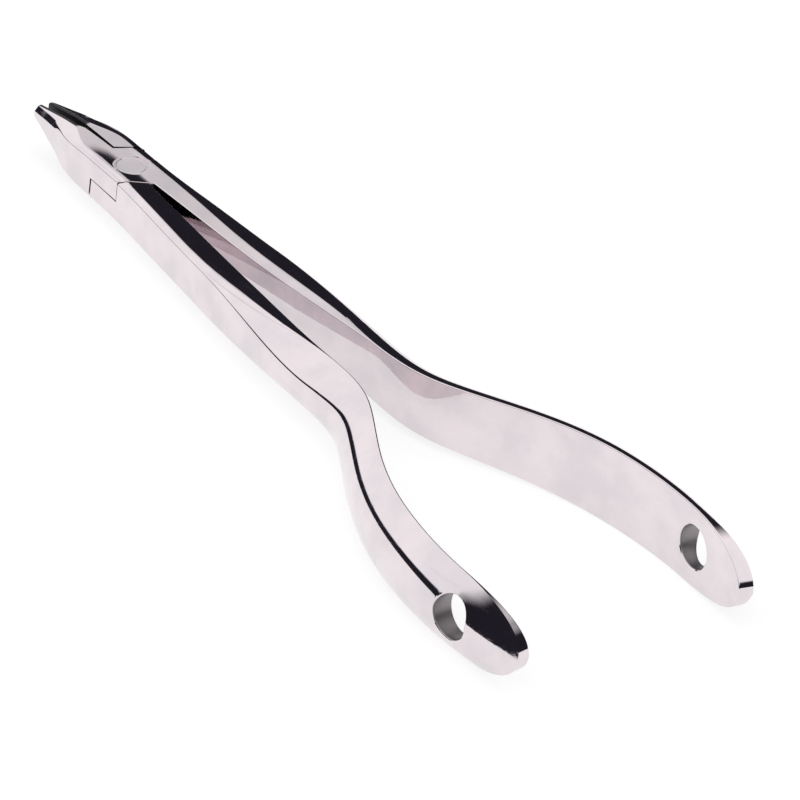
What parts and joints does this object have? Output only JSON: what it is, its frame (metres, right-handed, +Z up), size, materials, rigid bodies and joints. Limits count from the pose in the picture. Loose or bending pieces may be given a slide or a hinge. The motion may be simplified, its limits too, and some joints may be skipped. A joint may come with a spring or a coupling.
{
  "type": "crimping pliers",
  "caption": "Long slim polished steel crimping pliers with short tapered jaws, a lap joint on a flush rivet, and bowed grips with a round hole near each end.",
  "frame": {"origin": "where the pivot axis leaves the joint's underside", "axes": "+X along the tool from the jaws to the grips, +Z up along the pivot axis"},
  "size_m": [0.1506, 0.0446, 0.0118],
  "materials": {
    "polished_steel": "mirror-polished stainless steel with fine hairline scratches",
    "rivet_steel": "ground flush and polished, slightly duller than the levers"
  },
  "bodies": {
    "fixed_lever": {"lower_lever": "polished_steel", "pivot_rivet": "rivet_steel"},
    "moving_lever": {"upper_lever": "polished_steel"}
  },
  "joints": [
    {"name": "jaw_pivot", "type": "hinge", "parent": "fixed_lever", "child": "moving_lever", "pos_m": [0, 0, 0.0031], "axis": [0, 0, 1], "range_deg": [-2.5, 6.5]}
  ]
}
